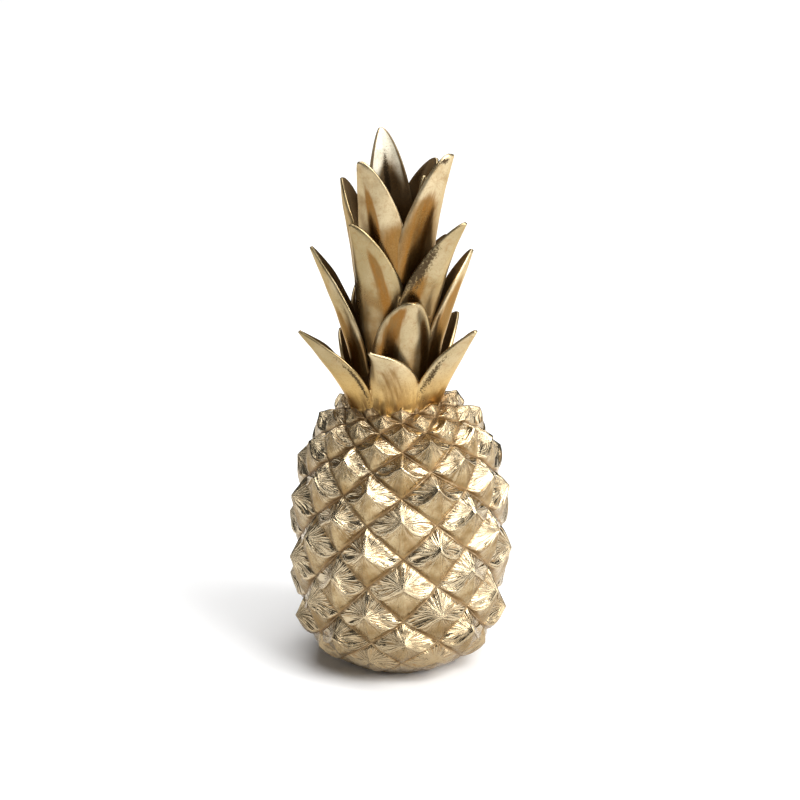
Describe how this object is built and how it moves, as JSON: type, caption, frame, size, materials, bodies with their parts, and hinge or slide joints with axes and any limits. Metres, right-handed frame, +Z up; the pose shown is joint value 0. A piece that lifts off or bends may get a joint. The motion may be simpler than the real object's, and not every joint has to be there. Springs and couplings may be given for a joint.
{
  "type": "pineapple ornament",
  "caption": "Standing gilt pineapple ornament, cast in one piece, with diamond scales and a tall crown of hollow-faced leaves.",
  "frame": {"origin": "centre of the flat underside that it stands on", "axes": "+Z up through the fruit to the crown, -Y towards the viewer of the front, +X to the right of the front"},
  "size_m": [0.0919, 0.0928, 0.225],
  "materials": {
    "gilding": "champagne gold metallic coat on cast resin, bright on the scales and satin on the leaves, with a brown wash in the grooves"
  },
  "bodies": {
    "root": {"pineapple": "gilding"}
  },
  "joints": []
}
